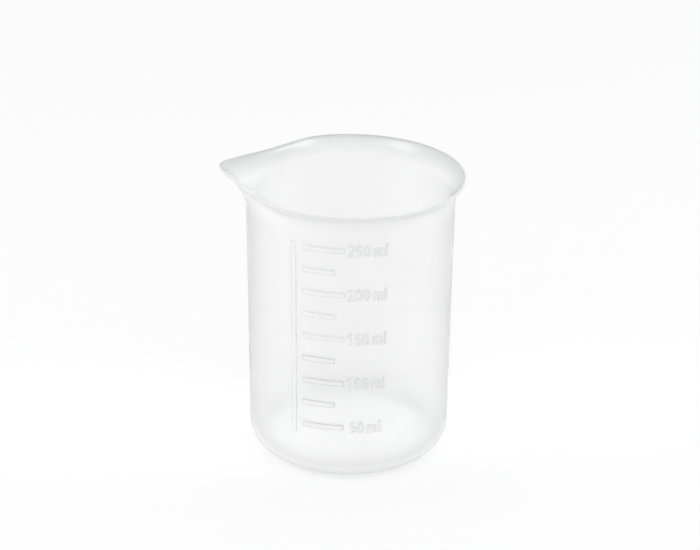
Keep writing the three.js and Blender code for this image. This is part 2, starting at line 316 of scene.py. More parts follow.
def add_node(tree, kind, inputs=None, **settings):
    """Adds a node, with values or other nodes' sockets on its inputs, and gives its outputs."""
    node = tree.nodes.new(kind)
    for name, value in settings.items():
        setattr(node, name, value)
    for key, value in (inputs or {}).items():
        if isinstance(key, str):
            socket = next(s for s in node.inputs if s.enabled and s.name == key)
        else:
            socket = node.inputs[key]
        for source in value if isinstance(value, list) else [value]:
            if isinstance(source, bpy.types.NodeSocket):
                tree.links.new(source, socket)
            else:
                socket.default_value = source
    return node.outputs


def new_tree(name, inputs):
    """A geometry node tree with named inputs after its geometry, and the sockets that give them."""
    tree = bpy.data.node_groups.new(name, "GeometryNodeTree")
    tree.interface.new_socket("Geometry", in_out="INPUT", socket_type="NodeSocketGeometry")
    tree.interface.new_socket("Geometry", in_out="OUTPUT", socket_type="NodeSocketGeometry")
    for socket_name, kind in inputs.items():
        tree.interface.new_socket(socket_name, in_out="INPUT", socket_type=kind)
    return tree, add_node(tree, "NodeGroupInput")


def finish_tree(tree, geometry, finish):
    """Ends a tree with plain faces in one material."""
    real = add_node(tree, "GeometryNodeRealizeInstances", {"Geometry": geometry})[0]
    painted = add_node(tree, "GeometryNodeSetMaterial", {"Geometry": real, "Material": finish})
    add_node(tree, "NodeGroupOutput", {"Geometry": painted[0]})


def new_mesh_object(name, points=(), faces=()):
    """An object of points and faces, linked to the scene."""
    mesh = bpy.data.meshes.new(name)
    mesh.from_pydata(points, [], faces)
    thing = bpy.data.objects.new(name, mesh)
    bpy.context.scene.collection.objects.link(thing)
    return thing


def make_with(tree, thing, inputs):
    """Runs a tree on an object and keeps what it makes as the object's plain mesh."""
    modifier = thing.modifiers.new(tree.name, "NODES")
    modifier.node_group = tree
    for socket in tree.interface.items_tree:
        if socket.in_out == "INPUT" and socket.name in inputs:
            modifier[socket.identifier] = inputs[socket.name]
    graph = bpy.context.evaluated_depsgraph_get()
    made = bpy.data.meshes.new_from_object(thing.evaluated_get(graph))
    thing.modifiers.remove(modifier)
    old = thing.data
    thing.data = made
    bpy.data.meshes.remove(old)
    made.name = thing.name
    # The tree's own grid leaves an empty slot before the finish
    finish = made.materials[-1]
    made.materials.clear()
    made.materials.append(finish)
    made.polygons.foreach_set("material_index", [0] * len(made.polygons))
    return thing


def hand_over(piece, slot, *nodes):
    """Seats a finished piece on the frame in place of CAD nodes."""
    if not piece.data.polygons:
        raise RuntimeError(f"{piece.name} has no faces")
    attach(piece, BODY)
    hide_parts(*nodes)


# Finishes

# Sizes of the patterns: drift of the gloss, grain of the mould, clouds in the wall, strokes on the
# board. The mould's real grain is finer, and is drawn coarser so that it shows.
DRIFT_SIZE = 22.22 * MM
GRAIN_SIZE = 0.6667 * MM
CLOUD_SIZE = 14.29 * MM
STROKE_SIZE = 40 * MM
NOISE_MIDDLE = (0.3, 0.7)

# The satin surface
SATIN_DRIFT = 0.03
COAT_ROUGHNESS = 0.4  # of the surface under it
GRAIN_DEPTH = 0.02 * MM
GRAIN_STRENGTH = 0.15

# Where the vessel is milkier or carries painted shade, and by what share
FLARE_SHADE_START = 0.27  # of the flare's height, where the painted shade on its inside starts
RING_INSET = 0.36  # of the base corner, from the wall in to the middle of the soft ring
RING_REACH = 0.25  # of the base corner, to each side of that middle
# Strength of the ring's painted shade
RING_SHADE = 0.85
EDGE_ON_POWER = 3.0
RIM_EDGE_START = 4  # roundings under the rim's top
RIM_EDGE_FULL = 2
RIM_EDGE_ON = 0.3  # of what the wall shows edge-on
# Strength of the painted shade line along the rim's edge, and along the spout
RIM_SHADE_LINE = 0.22
SPOUT_SHADE_LINE = 0.2
SPOUT_LINE_FADE = 1 * MM
RIM_MILK_START = 1 * MM  # under the flare
CLOUD_RANGE = (0.4, 0.7)
CLOUD_TINT = 0.03

# The same for the foot and the rim, each as a value for the inside and one for the outside
FOOT_START = (0.2, 0.55)  # of the base corner, up to where the foot is milkiest
FOOT_END = (1.0, 1.35)  # of the base corner, where the foot runs out in the wall
FOOT_MILK = (0.4, 1.0)
FOOT_TINT = (0.25, 0.2)
RIM_MILK = (0.272, 0.68)

BOARD_ROUGHNESS = (0.85, 0.95)


def new_material(name):
    """A material with an empty node tree."""
    material = bpy.data.materials.new(name)
    material.use_nodes = True
    material.node_tree.nodes.clear()
    return material, material.node_tree


def clear_plastic(tree, where, share, tint, clarity, bend):
    """Ends a material as satin plastic that passes most of the light, with a share of a tint."""
    finish = bpy.context.scene.beaker_finish
    mixed = add_node(
        tree,
        "ShaderNodeMix",
        {"Factor": share, "A": (*finish.plastic, 1.0), "B": (*tint, 1.0)},
        data_type="RGBA",
    )
    drift, grain = [
        add_node(
            tree, "ShaderNodeTexNoise", {"Vector": where, "Scale": 1 / size, "Detail": 2.0}
        )["Fac"]
        for size in (DRIFT_SIZE, GRAIN_SIZE)
    ]
    low, high = NOISE_MIDDLE
    smooth, rough = finish.satin - SATIN_DRIFT, finish.satin + SATIN_DRIFT
    satin = add_node(tree, MAP_RANGE, {0: drift, 1: low, 2: high, 3: smooth, 4: rough})
    bump = add_node(
        tree,
        "ShaderNodeBump",
        {"Strength": GRAIN_STRENGTH, "Distance": GRAIN_DEPTH, "Height": grain},
    )
    shader = add_node(
        tree,
        "ShaderNodeBsdfPrincipled",
        {
            "Base Color": next(socket for socket in mixed if socket.enabled),
            "Roughness": satin[0],
            "Normal": bump[0],
            "IOR": bend,
            "Transmission Weight": clarity,
            "Coat Weight": finish.gloss,
            "Coat Roughness": COAT_ROUGHNESS * finish.satin,
        },
    )[0]
    # Lamplight goes on through the milky wall, so the shadow stays pale
    shadow = add_node(tree, "ShaderNodeLightPath")["Is Shadow Ray"]
    passed = add_node(tree, MATH, {0: shadow, 1: finish.lit_through}, operation="MULTIPLY")
    straight = add_node(tree, "ShaderNodeBsdfTransparent")[0]
    surface = add_node(tree, "ShaderNodeMixShader", {0: passed[0], 1: shader, 2: straight})[0]
    add_node(tree, "ShaderNodeOutputMaterial", {"Surface": surface})


def natural_polypropylene():
    """Natural polypropylene, injection moulded."""
    # To the eye it is clear and satin, with a milky look at the rim, at the foot and edge-on; shade
    # is painted inside the flare, along the rim's edge and in a ring at the inside corner
    material, tree = new_material("natural_polypropylene_moulded")
    finish, sizes = bpy.context.scene.beaker_finish, bpy.context.scene.beaker_vessel
    corner = sizes.base_corner
    where = add_node(tree, "ShaderNodeTexCoord")["Object"]
    height = add_node(tree, "ShaderNodeSeparateXYZ", {0: where})["Z"]
    flat = add_node(tree, VECTOR_MATH, {0: where, 1: (1.0, 1.0, 0.0)}, operation="MULTIPLY")
    radius = add_node(tree, VECTOR_MATH, {0: flat[0]}, operation="LENGTH")["Value"]
    outside = add_node(tree, "ShaderNodeAttribute", attribute_name=OUTSIDE)["Fac"]
    inside = add_node(tree, MATH, {0: 1.0, 1: outside}, operation="SUBTRACT")[0]
    foot_start, foot_end, foot_milk, foot_tint, rim_milk = [
        add_node(tree, MAP_RANGE, {0: outside, 3: inner, 4: outer})[0]
        for inner, outer in (
            [corner * share for share in FOOT_START],
            [corner * share for share in FOOT_END],
            FOOT_MILK,
            FOOT_TINT,
            RIM_MILK,
        )
    ]

    # Painted shade: the inside of the flare is tinted darker towards the rim
    rounding, rim = rim_lines(sizes)[1:3]
    rim_top = rounding[1] + sizes.rim_rounding
    flare_start = sizes.flare_height + FLARE_SHADE_START * (rim_top - sizes.flare_height)
    flare = add_node(tree, MAP_RANGE, {0: height, 1: flare_start, 2: rim_top})[0]

    # Painted shade: a soft darker ring at the foot of the inside corner
    ring_radius = inside_radius(sizes, sizes.floor) - RING_INSET * corner
    off_ring = add_node(tree, MATH, {0: radius, 1: ring_radius}, operation="SUBTRACT")[0]
    off_ring = add_node(tree, MATH, {0: off_ring}, operation="ABSOLUTE")[0]
    ring = add_node(
        tree,
        MAP_RANGE,
        {0: off_ring, 1: 0.0, 2: RING_REACH * corner, 3: RING_SHADE, 4: 0.0},
        interpolation_type="SMOOTHSTEP",
    )[0]
    share = add_node(tree, MATH, {0: ring, 1: flare}, operation="ADD")[0]
    share = add_node(tree, MATH, {0: share, 1: inside}, operation="MULTIPLY")[0]

    # Seen edge-on, light has further to go in the plastic, but less so at the rim's edge
    rim_edge = add_node(
        tree,
        MAP_RANGE,
        {
            0: height,
            1: rim_top - RIM_EDGE_START * sizes.rim_rounding,
            2: rim_top - RIM_EDGE_FULL * sizes.rim_rounding,
        },
    )[0]
    strength = add_node(
        tree, MAP_RANGE, {0: rim_edge, 3: finish.edge_on, 4: RIM_EDGE_ON * finish.edge_on}
    )[0]
    facing = add_node(tree, "ShaderNodeLayerWeight", {"Blend": 0.5})["Facing"]
    edge_on = add_node(tree, MATH, {0: facing, 1: EDGE_ON_POWER}, operation="POWER")[0]
    edge_on = add_node(tree, MATH, {0: edge_on, 1: strength}, operation="MULTIPLY")[0]
    share = add_node(tree, MATH, {0: edge_on, 1: share}, operation="MAXIMUM")[0]

    # Painted shade: a soft grey line along the rim's edge, a little fainter along the spout
    line = add_node(
        tree,
        MAP_RANGE,
        {0: radius, 1: rim, 2: rim + SPOUT_LINE_FADE, 3: RIM_SHADE_LINE, 4: SPOUT_SHADE_LINE},
    )[0]
    rim_edge = add_node(tree, MATH, {0: rim_edge, 1: outside}, operation="MULTIPLY")[0]
    line = add_node(tree, MATH, {0: rim_edge, 1: line}, operation="MULTIPLY")[0]
    share = add_node(tree, MATH, {0: line, 1: share}, operation="MAXIMUM")[0]

    # The foot is the thickest plastic, and its colour is tinted darker towards the bottom
    foot = add_node(
        tree, MAP_RANGE, {0: height, 1: foot_start, 2: foot_end, 3: foot_milk, 4: 0.0}
    )[0]
    share = add_node(tree, MATH, {0: foot, 1: foot_tint, 2: share}, operation="MULTIPLY_ADD")[0]

    # Faint clouds keep the wall from looking drawn
    cloud = add_node(
        tree, "ShaderNodeTexNoise", {"Vector": where, "Scale": 1 / CLOUD_SIZE, "Detail": 3.0}
    )["Fac"]
    low, high = CLOUD_RANGE
    cloud = add_node(tree, MAP_RANGE, {0: cloud, 1: low, 2: high, 3: 0.0, 4: CLOUD_TINT})
    share = add_node(tree, MATH, {0: share, 1: cloud[0]}, operation="ADD", use_clamp=True)[0]

    # The foot and the rim scatter more of the light than the wall
    rim_start = sizes.flare_height - RIM_MILK_START
    rim_full = (sizes.flare_height + rim_top) / 2
    rim_scatter = add_node(tree, MAP_RANGE, {0: height, 1: rim_start, 2: rim_full, 4: rim_milk})[0]
    thick = add_node(tree, MATH, {0: foot, 1: rim_scatter}, operation="MAXIMUM")[0]
    clarity = add_node(tree, MAP_RANGE, {0: thick, 3: finish.clarity, 4: finish.thick_clarity})[0]
    clear_plastic(tree, where, share, finish.milk_and_shade, clarity, finish.bend)
    return material


def raised_polypropylene():
    """The same plastic, raised in the mould."""
    # To the eye it is clear on top; shade is painted along its edges, where their sides throw light
    # aside
    material, tree = new_material("natural_polypropylene_raised")
    finish = bpy.context.scene.beaker_finish
    where = add_node(tree, "ShaderNodeTexCoord")["Object"]
    edge = add_node(tree, "ShaderNodeAttribute", attribute_name=EDGE)["Fac"]
    clear_plastic(tree, where, edge, finish.relief_edge_shade, finish.relief_clarity, finish.relief_bend)
    return material


def white_board():
    """White board, painted with a brush."""
    # To the eye it is an even matt white that takes the beaker's faint shadow
    material, tree = new_material("white_board_painted")
    where = add_node(tree, "ShaderNodeTexCoord")["Object"]
    strokes = add_node(
        tree, "ShaderNodeTexNoise", {"Vector": where, "Scale": 1 / STROKE_SIZE, "Detail": 2.0}
    )["Fac"]
    (low, high), (smooth, rough) = NOISE_MIDDLE, BOARD_ROUGHNESS
    matt = add_node(tree, MAP_RANGE, {0: strokes, 1: low, 2: high, 3: smooth, 4: rough})
    shader = add_node(
        tree,
        "ShaderNodeBsdfPrincipled",
        {
            "Base Color": (*bpy.context.scene.beaker_finish.board, 1.0),
            "Roughness": matt[0],
            "Specular IOR Level": 0.0,
        },
    )
    add_node(tree, "ShaderNodeOutputMaterial", {"Surface": shader[0]})
    return material


# The vessel


def outside_radius(sizes, height):
    """Radius of the wall's outside at a height, on its straight part."""
    return sizes.base_radius + height * math.tan(sizes.draft)


def inside_radius(sizes, height):
    """Radius of the wall's inside at a height, on its straight part."""
    return outside_radius(sizes, height) - sizes.wall / math.cos(sizes.draft)


def arc(middle, radius, start, end, steps):
    """Points along an arc of the profile, as distance from the axis and height."""
    angles = [start + (end - start) * i / steps for i in range(steps + 1)]
    return [(middle[0] + radius * math.cos(a), middle[1] + radius * math.sin(a)) for a in angles]


def bend_between(start, corner, end, steps):
    """Points that round a corner of the profile, without the first."""
    points = []
    for i in range(1, steps + 1):
        share = i / steps
        weights = ((1 - share) ** 2, 2 * share * (1 - share), share**2)
        points.append(
            tuple(sum(w * p[k] for w, p in zip(weights, (start, corner, end))) for k in (0, 1))
        )
    return points


def base_corner(sizes, radius_at, floor, radius):
    """The rounding between a floor and its wall, tangent to both."""
    height = floor + radius
    middle = (radius_at(sizes, height) - radius / math.cos(sizes.draft), height)
    return arc(middle, radius, -math.pi / 2, -sizes.draft, sizes.arc_steps)


def rim_lines(sizes):
    """The middles of the flare and of the rim's rounding, and the rim's radius and end leans."""
    wall = outside_radius(sizes, sizes.flare_height)
    flare = (
        wall + sizes.flare_radius * math.cos(sizes.draft),
        sizes.flare_height - sizes.flare_radius * math.sin(sizes.draft),
    )
    rim = wall + sizes.rim_overhang
    reach = sizes.flare_radius + sizes.wall - sizes.rim_rounding
    outer_lean = math.acos((flare[0] - rim) / sizes.flare_radius)
    inner_lean = math.acos((flare[0] - rim + sizes.rim_rounding) / reach)
    rounding = (rim - sizes.rim_rounding, flare[1] + reach * math.sin(inner_lean))
    return flare, rounding, rim, outer_lean, inner_lean


def spout_root(sizes):
    """Height on the wall at which the spout starts."""
    rounding = rim_lines(sizes)[1]
    return rounding[1] + sizes.rim_rounding - sizes.spout_depth


def vessel_profile(sizes):
    """Points from the underside over the rim to the floor, and how many count as outside."""
    flare, rounding, rim, outer_lean, inner_lean = rim_lines(sizes)
    root = spout_root(sizes)
    steps = sizes.arc_steps
    rim_steps = steps // 3
    rise = [i / steps for i in range(1, steps)]
    outer_corner = base_corner(sizes, outside_radius, 0, sizes.base_corner)
    inner_corner = base_corner(sizes, inside_radius, sizes.floor, sizes.base_corner - sizes.wall)

    def wall_points(radius_at, corner):
        lower = [corner[-1][1] + (root - corner[-1][1]) * share for share in rise]
        upper = [root + (sizes.flare_height - root) * share for share in [0, *rise]]
        return [(radius_at(sizes, height), height) for height in lower + upper]

    flare_start = math.pi - sizes.draft
    foot_start = math.pi - outer_lean + sizes.rim_foot / sizes.flare_radius
    flare_end = math.pi - inner_lean
    outside = [
        (0, 0),
        *outer_corner,
        *wall_points(outside_radius, outer_corner),
        *arc(flare, sizes.flare_radius, flare_start, foot_start, steps),
    ]
    corner = (rim, flare[1] + sizes.flare_radius * math.sin(outer_lean))
    foot = bend_between(outside[-1], corner, (rim, corner[1] + sizes.rim_foot), rim_steps)
    rounded = arc(rounding, sizes.rim_rounding, 0, flare_end, rim_steps)
    outside += [*foot, *rounded]
    inside = [
        (0, sizes.floor),
        *inner_corner,
        *wall_points(inside_radius, inner_corner),
        *arc(flare, sizes.flare_radius + sizes.wall, flare_start, flare_end, steps)[:-1],
    ]
    # The inner third of the rim's rounding takes the tint of the inside
    return [*outside, *reversed(inside)], len(outside) - len(rounded) // 3


def rim_plan(sizes):
    """Points round the rim from opposite the spout, as places in plan and rises over the rim."""
    side = outside_radius(sizes, sizes.flare_height) + sizes.spout_side_overhang
    rim = rim_lines(sizes)[2]
    normal = math.pi / 2 - sizes.spout_half_angle
    tip = sizes.spout_tip_radius
    tip_middle = (side - tip) / math.sin(sizes.spout_half_angle)
    tip_end = math.atan2(tip * math.sin(normal), tip_middle + tip * math.cos(normal))

    def reach(turn):
        if turn <= tip_end:
            across = tip_middle * math.sin(turn)
            return tip_middle * math.cos(turn) + math.sqrt(tip**2 - across**2)
        if turn >= normal + math.pi / 2:
            return rim
        straight = side / math.cos(turn - normal)
        if turn <= normal:
            return straight
        # Where the side runs into the rim, the two are blended
        share = max(sizes.spout_blend - abs(straight - rim), 0) / sizes.spout_blend
        return min(straight, rim) - share**2 * sizes.spout_blend / 4

    points = []
    for i in range(sizes.ring_steps):
        even = math.pi - 2 * math.pi * i / sizes.ring_steps
        angle = even - sizes.ring_crowding * math.sin(even)
        radius = reach(abs(angle))
        lift = sizes.spout_lift * math.cos(min(abs(angle) / normal, 1) * math.pi / 2) ** 2
        points.append((-radius * math.cos(angle), -radius * math.sin(angle), lift))
    return points


def vessel_tree():
    """Turns a profile round a plan, and draws the wall out to it where it leaves a ring."""
    tree, given = new_tree(
        "turned_vessel",
        {
            "Plan": "NodeSocketObject",
            "Rim radius": "NodeSocketFloat",
            "Spout root": "NodeSocketFloat",
            "Spout depth": "NodeSocketFloat",
            "Spout curve": "NodeSocketFloat",
            "Outside rows": "NodeSocketInt",
            "Finish": "NodeSocketMaterial",
        },
    )
    profile = given["Geometry"]
    plan = add_node(tree, "GeometryNodeObjectInfo", {"Object": given["Plan"]})["Geometry"]
    rows, columns = [
        add_node(tree, "GeometryNodeAttributeDomainSize", {"Geometry": line})[0]
        for line in (profile, plan)
    ]
    last_row = add_node(tree, MATH, {0: rows, 1: 1.0}, operation="SUBTRACT")[0]
    seam = add_node(tree, MATH, {0: columns, 1: 1.0}, operation="ADD")[0]
    grid = add_node(
        tree,
        "GeometryNodeMeshGrid",
        {"Size X": 1.0, "Size Y": 1.0, "Vertices X": rows, "Vertices Y": seam},
    )["Mesh"]

    # Each point of the grid finds its place on the profile and on the plan
    position = add_node(tree, "GeometryNodeInputPosition")[0]
    centred = add_node(tree, VECTOR_MATH, {0: position, 1: (0.5, 0.5, 0.0)}, operation="ADD")
    place = add_node(tree, "ShaderNodeSeparateXYZ", {0: centred[0]})
    row = add_node(tree, MATH, {0: place["X"], 1: last_row}, operation="MULTIPLY")[0]
    row = add_node(tree, MATH, {0: row}, operation="ROUND")[0]
    column = add_node(tree, MATH, {0: place["Y"], 1: columns}, operation="MULTIPLY")[0]
    column = add_node(tree, MATH, {0: column}, operation="ROUND")[0]
    column = add_node(tree, MATH, {0: column, 1: columns}, operation="FLOORED_MODULO")[0]
    on_profile, on_plan = [
        add_node(
            tree,
            "GeometryNodeSampleIndex",
            {"Geometry": line, "Value": position, "Index": index},
            data_type="FLOAT_VECTOR",
        )[0]
        for line, index in ((profile, row), (plan, column))
    ]
    turned = add_node(tree, "ShaderNodeSeparateXYZ", {0: on_profile})
    lift = add_node(tree, "ShaderNodeSeparateXYZ", {0: on_plan})["Z"]
    flat = add_node(tree, VECTOR_MATH, {0: on_plan, 1: (1.0, 1.0, 0.0)}, operation="MULTIPLY")
    reach = add_node(tree, VECTOR_MATH, {0: flat[0]}, operation="LENGTH")["Value"]
    outward = add_node(tree, VECTOR_MATH, {0: flat[0]}, operation="NORMALIZE")[0]

    # Over the spout's root the wall follows the plan, more and more up to the rim
    share = add_node(tree, MATH, {0: turned["Z"], 1: given["Spout root"]}, operation="SUBTRACT")[0]
    share = add_node(tree, MATH, {0: share, 1: given["Spout depth"]}, operation="DIVIDE")[0]
    share = add_node(tree, MATH, {0: share, 1: 0.0}, operation="MAXIMUM")[0]
    drawn = add_node(tree, MATH, {0: share, 1: given["Spout curve"]}, operation="POWER")[0]
    departure = add_node(tree, MATH, {0: reach, 1: given["Rim radius"]}, operation="SUBTRACT")[0]
    radius, height = [
        add_node(tree, MATH, {0: drawn, 1: change, 2: start}, operation="MULTIPLY_ADD")[0]
        for change, start in ((departure, turned["X"]), (lift, turned["Z"]))
    ]
    out = add_node(tree, VECTOR_MATH, {0: outward, "Scale": radius}, operation="SCALE")[0]
    up = add_node(tree, "ShaderNodeCombineXYZ", {"Z": height})[0]
    drawn_out = add_node(tree, VECTOR_MATH, {0: out, 1: up}, operation="ADD")[0]

    is_outside = add_node(tree, MATH, {0: row, 1: given["Outside rows"]}, operation="LESS_THAN")[0]
    marked = add_node(
        tree,
        "GeometryNodeStoreNamedAttribute",
        {"Geometry": grid, "Name": OUTSIDE, "Value": is_outside},
        data_type="FLOAT",
        domain="POINT",
    )[0]
    wall = add_node(tree, "GeometryNodeSetPosition", {"Geometry": marked, "Position": drawn_out})[0]
    closed = add_node(tree, "GeometryNodeMergeByDistance", {"Geometry": wall, "Distance": WELD})[0]
    smooth = add_node(
        tree, "GeometryNodeSetShadeSmooth", {"Geometry": closed, "Shade Smooth": True}
    )[0]
    finish_tree(tree, smooth, given["Finish"])
    return tree


class BEAKER_OT_vessel(bpy.types.Operator):
    """Builds the vessel: floor, round corner, wall, flared rim and spout"""

    bl_idname = "beaker.vessel"
    bl_label = "Vessel"

    def execute(self, context):
        sizes = context.scene.beaker_vessel
        points, outside_rows = vessel_profile(sizes)
        plan = new_mesh_object("rim_plan", rim_plan(sizes))
        profile = [(radius, 0, height) for radius, height in points]
        vessel = new_mesh_object("beaker_vessel", profile)
        make_with(
            vessel_tree(),
            vessel,
            {
                "Plan": plan,
                "Rim radius": rim_lines(sizes)[2],
                "Spout root": spout_root(sizes),
                "Spout depth": sizes.spout_depth,
                "Spout curve": sizes.spout_curve,
                "Outside rows": outside_rows,
                "Finish": natural_polypropylene(),
            },
        )
        bpy.data.objects.remove(plan)
        hand_over(vessel, "vessel", "vessel")
        return {"FINISHED"}


# The scale

BAR_SIZES = ["Relief", "Sink", "Side draft", "Margin", "Side cut"]
BAR_STEPS = ["Steps along", "Steps across"]
WALL_SIZES = ["Base radius", "Draft", "Scale radius"]

# Corners of the CAD's figures that are one, and faces that are flat enough to be one
SAME_CORNER = 0.002 * MM
SAME_FACE = math.radians(8)


def lay_on_wall_tree():
    """Lays flat pieces on the wall: x runs round it, y goes up and z stands out."""
    tree, given = new_tree("lay_on_wall", dict.fromkeys(WALL_SIZES, "NodeSocketFloat"))
    position = add_node(tree, "GeometryNodeInputPosition")[0]
    flat = add_node(tree, "ShaderNodeSeparateXYZ", {0: position})
    lean = add_node(tree, MATH, {0: given["Draft"]}, operation="TANGENT")[0]
    wall = add_node(
        tree, MATH, {0: flat["Y"], 1: lean, 2: given["Base radius"]}, operation="MULTIPLY_ADD"
    )[0]
    radius = add_node(tree, MATH, {0: wall, 1: flat["Z"]}, operation="ADD")[0]
    angle = add_node(tree, MATH, {0: flat["X"], 1: given["Scale radius"]}, operation="DIVIDE")[0]
    sine = add_node(tree, MATH, {0: angle}, operation="SINE")[0]
    cosine = add_node(tree, MATH, {0: angle}, operation="COSINE")[0]
    x = add_node(tree, MATH, {0: radius, 1: sine}, operation="MULTIPLY")[0]
    depth = add_node(tree, MATH, {0: radius, 1: cosine}, operation="MULTIPLY")[0]
    y = add_node(tree, MATH, {0: depth, 1: -1.0}, operation="MULTIPLY")[0]
    laid = add_node(tree, "ShaderNodeCombineXYZ", {"X": x, "Y": y, "Z": flat["Y"]})[0]
    moved = add_node(
        tree, "GeometryNodeSetPosition", {"Geometry": given["Geometry"], "Position": laid}
    )[0]
    add_node(tree, "NodeGroupOutput", {"Geometry": moved})
    return tree


def raised_bar_tree():
    """A flat bar with sloping sides and a margin on top, both marked with a share of painted shade.
    """
    tree, given = new_tree(
        "raised_bar",
        {
            **dict.fromkeys(["Length", "Width", *BAR_SIZES], "NodeSocketFloat"),
            **dict.fromkeys(BAR_STEPS, "NodeSocketInt"),
        },
    )
    grid = add_node(
        tree,
        "GeometryNodeMeshGrid",
        {
            "Size X": given["Length"],
            "Size Y": given["Width"],
            "Vertices X": given["Steps along"],
            "Vertices Y": given["Steps across"],
        },
    )["Mesh"]
    down = add_node(tree, MATH, {0: given["Sink"], 1: -1.0}, operation="MULTIPLY")[0]
    sunk = add_node(tree, "ShaderNodeCombineXYZ", {"Z": down})[0]
    foot = add_node(tree, "GeometryNodeSetPosition", {"Geometry": grid, "Offset": sunk})[0]
    whole = add_node(tree, MATH, {0: given["Relief"], 1: given["Sink"]}, operation="ADD")[0]
    raised = add_node(
        tree,
        "GeometryNodeExtrudeMesh",
        {"Mesh": foot, "Offset": (0.0, 0.0, 1.0), "Offset Scale": whole, "Individual": False},
    )

    # The top is drawn in for the slope of the sides, and again for the margin
    body, top, edges = raised["Mesh"], raised["Top"], [(given["Side cut"], raised["Side"])]
    taken = 0.0
    for ring, inset in enumerate((given["Side draft"], given["Margin"])):
        if ring:
            margin = add_node(
                tree,
                "GeometryNodeExtrudeMesh",
                {"Mesh": body, "Selection": top, "Offset Scale": 0.0, "Individual": False},
            )
            body, top = margin["Mesh"], margin["Top"]
            edges.append((1.0, margin["Side"]))
        both = add_node(tree, MATH, {0: inset, 1: 2.0}, operation="MULTIPLY")[0]
        for side, axis in (("Length", (1.0, 0.0, 0.0)), ("Width", (0.0, 1.0, 0.0))):
            before = add_node(tree, MATH, {0: given[side], 1: taken}, operation="SUBTRACT")[0]
            after = add_node(tree, MATH, {0: before, 1: both}, operation="SUBTRACT")[0]
            share = add_node(tree, MATH, {0: after, 1: before}, operation="DIVIDE")[0]
            body = add_node(
                tree,
                "GeometryNodeScaleElements",
                {"Geometry": body, "Selection": top, "Scale": share, "Axis": axis},
                domain="FACE",
                scale_mode="SINGLE_AXIS",
            )[0]
        taken = both
    # The sides and the margin store their share of painted shade
    for share, faces in edges:
        body = add_node(
            tree,
            "GeometryNodeStoreNamedAttribute",
            {"Geometry": body, "Selection": faces, "Name": EDGE, "Value": share},
            data_type="FLOAT",
            domain="FACE",
        )[0]

    underside = add_node(tree, "GeometryNodeFlipFaces", {"Mesh": foot})[0]
    joined = add_node(tree, "GeometryNodeJoinGeometry", {"Geometry": [underside, body]})[0]
    closed = add_node(
        tree, "GeometryNodeMergeByDistance", {"Geometry": joined, "Distance": WELD}
    )[0]
    sharp = add_node(
        tree, "GeometryNodeSetShadeSmooth", {"Geometry": closed, "Shade Smooth": False}
    )[0]
    add_node(tree, "NodeGroupOutput", {"Geometry": sharp})
    return tree


def scale_bars_tree(bar_tree, wall_tree):
    """Sets long or short bars on points of the flat scale, and lays them on the wall."""
    tree, given = new_tree(
        "scale_bars",
        {
            "Long bar": "NodeSocketVector",
            "Short bar": "NodeSocketVector",
            **dict.fromkeys([*BAR_SIZES, *WALL_SIZES], "NodeSocketFloat"),
            **dict.fromkeys(BAR_STEPS, "NodeSocketInt"),
            "Finish": "NodeSocketMaterial",
        },
    )
    is_long = add_node(
        tree, "GeometryNodeInputNamedAttribute", {"Name": LONG}, data_type="BOOLEAN"
    )[0]
    is_short = add_node(tree, "FunctionNodeBooleanMath", {0: is_long}, operation="NOT")[0]
    bars = []
    for name, chosen in (("Long bar", is_long), ("Short bar", is_short)):
        size = add_node(tree, "ShaderNodeSeparateXYZ", {0: given[name]})
        feeds = {key: given[key] for key in [*BAR_SIZES, *BAR_STEPS]}
        feeds.update({"Length": size["X"], "Width": size["Y"]})
        bar = add_node(tree, "GeometryNodeGroup", feeds, node_tree=bar_tree)[0]
        bars.append(
            add_node(
                tree,
                "GeometryNodeInstanceOnPoints",
                {"Points": given["Geometry"], "Selection": chosen, "Instance": bar},
            )[0]
        )
    placed = add_node(tree, "GeometryNodeJoinGeometry", {"Geometry": bars})[0]
    flat = add_node(tree, "GeometryNodeRealizeInstances", {"Geometry": placed})[0]
    feeds = {"Geometry": flat, **{key: given[key] for key in WALL_SIZES}}
    laid = add_node(tree, "GeometryNodeGroup", feeds, node_tree=wall_tree)[0]

    # Each bar's own point says how much of the painted edge shade its edges take
    edge, cut = [
        add_node(tree, "GeometryNodeInputNamedAttribute", {"Name": name}, data_type="FLOAT")[0]
        for name in (EDGE, SHADE_SHARE)
    ]
    dark = add_node(tree, MATH, {0: edge, 1: cut}, operation="MULTIPLY")[0]
    marked = add_node(
        tree,
        "GeometryNodeStoreNamedAttribute",
        {"Geometry": laid, "Name": EDGE, "Value": dark},
        data_type="FLOAT",
        domain="FACE",
    )[0]
    finish_tree(tree, marked, given["Finish"])
    return tree


def scale_finish():
    """The raised plastic's material, made once."""
    return bpy.data.materials.get("natural_polypropylene_raised") or raised_polypropylene()


def rolled_out(left, right, bottom, top):
    """The middle and the size of a bar when the wall is rolled out flat."""
    middle = (SCALE_RADIUS * (left + right) / 2, (bottom + top) / 2, 0)
    return middle, (SCALE_RADIUS * (right - left), top - bottom, 0)


def make_bars(context, name, points, long, short, steps):
    """A piece of bars on the wall, from the place, kind and share of painted edge shade of each."""
    vessel, sizes = context.scene.beaker_vessel, context.scene.beaker_scale
    tree = bpy.data.node_groups.get("scale_bars")
    if tree is None:
        tree = scale_bars_tree(raised_bar_tree(), lay_on_wall_tree())
    places, are_long, cuts = zip(*points)
    bars = new_mesh_object(name, places)
    for attribute, kind, values in ((LONG, "BOOLEAN", are_long), (SHADE_SHARE, "FLOAT", cuts)):
        bars.data.attributes.new(attribute, kind, "POINT").data.foreach_set("value", values)
    return make_with(
        tree,
        bars,
        {
            "Long bar": long,
            "Short bar": short,
            "Relief": sizes.relief,
            "Sink": sizes.sink,
            "Side draft": sizes.side_draft,
            "Margin": sizes.bar_margin,
            "Side cut": sizes.side_shade,
            "Base radius": vessel.base_radius,
            "Draft": vessel.draft,
            "Scale radius": SCALE_RADIUS,
            "Steps along": steps[0] + 1,
            "Steps across": steps[1] + 1,
            "Finish": scale_finish(),
        },
    )


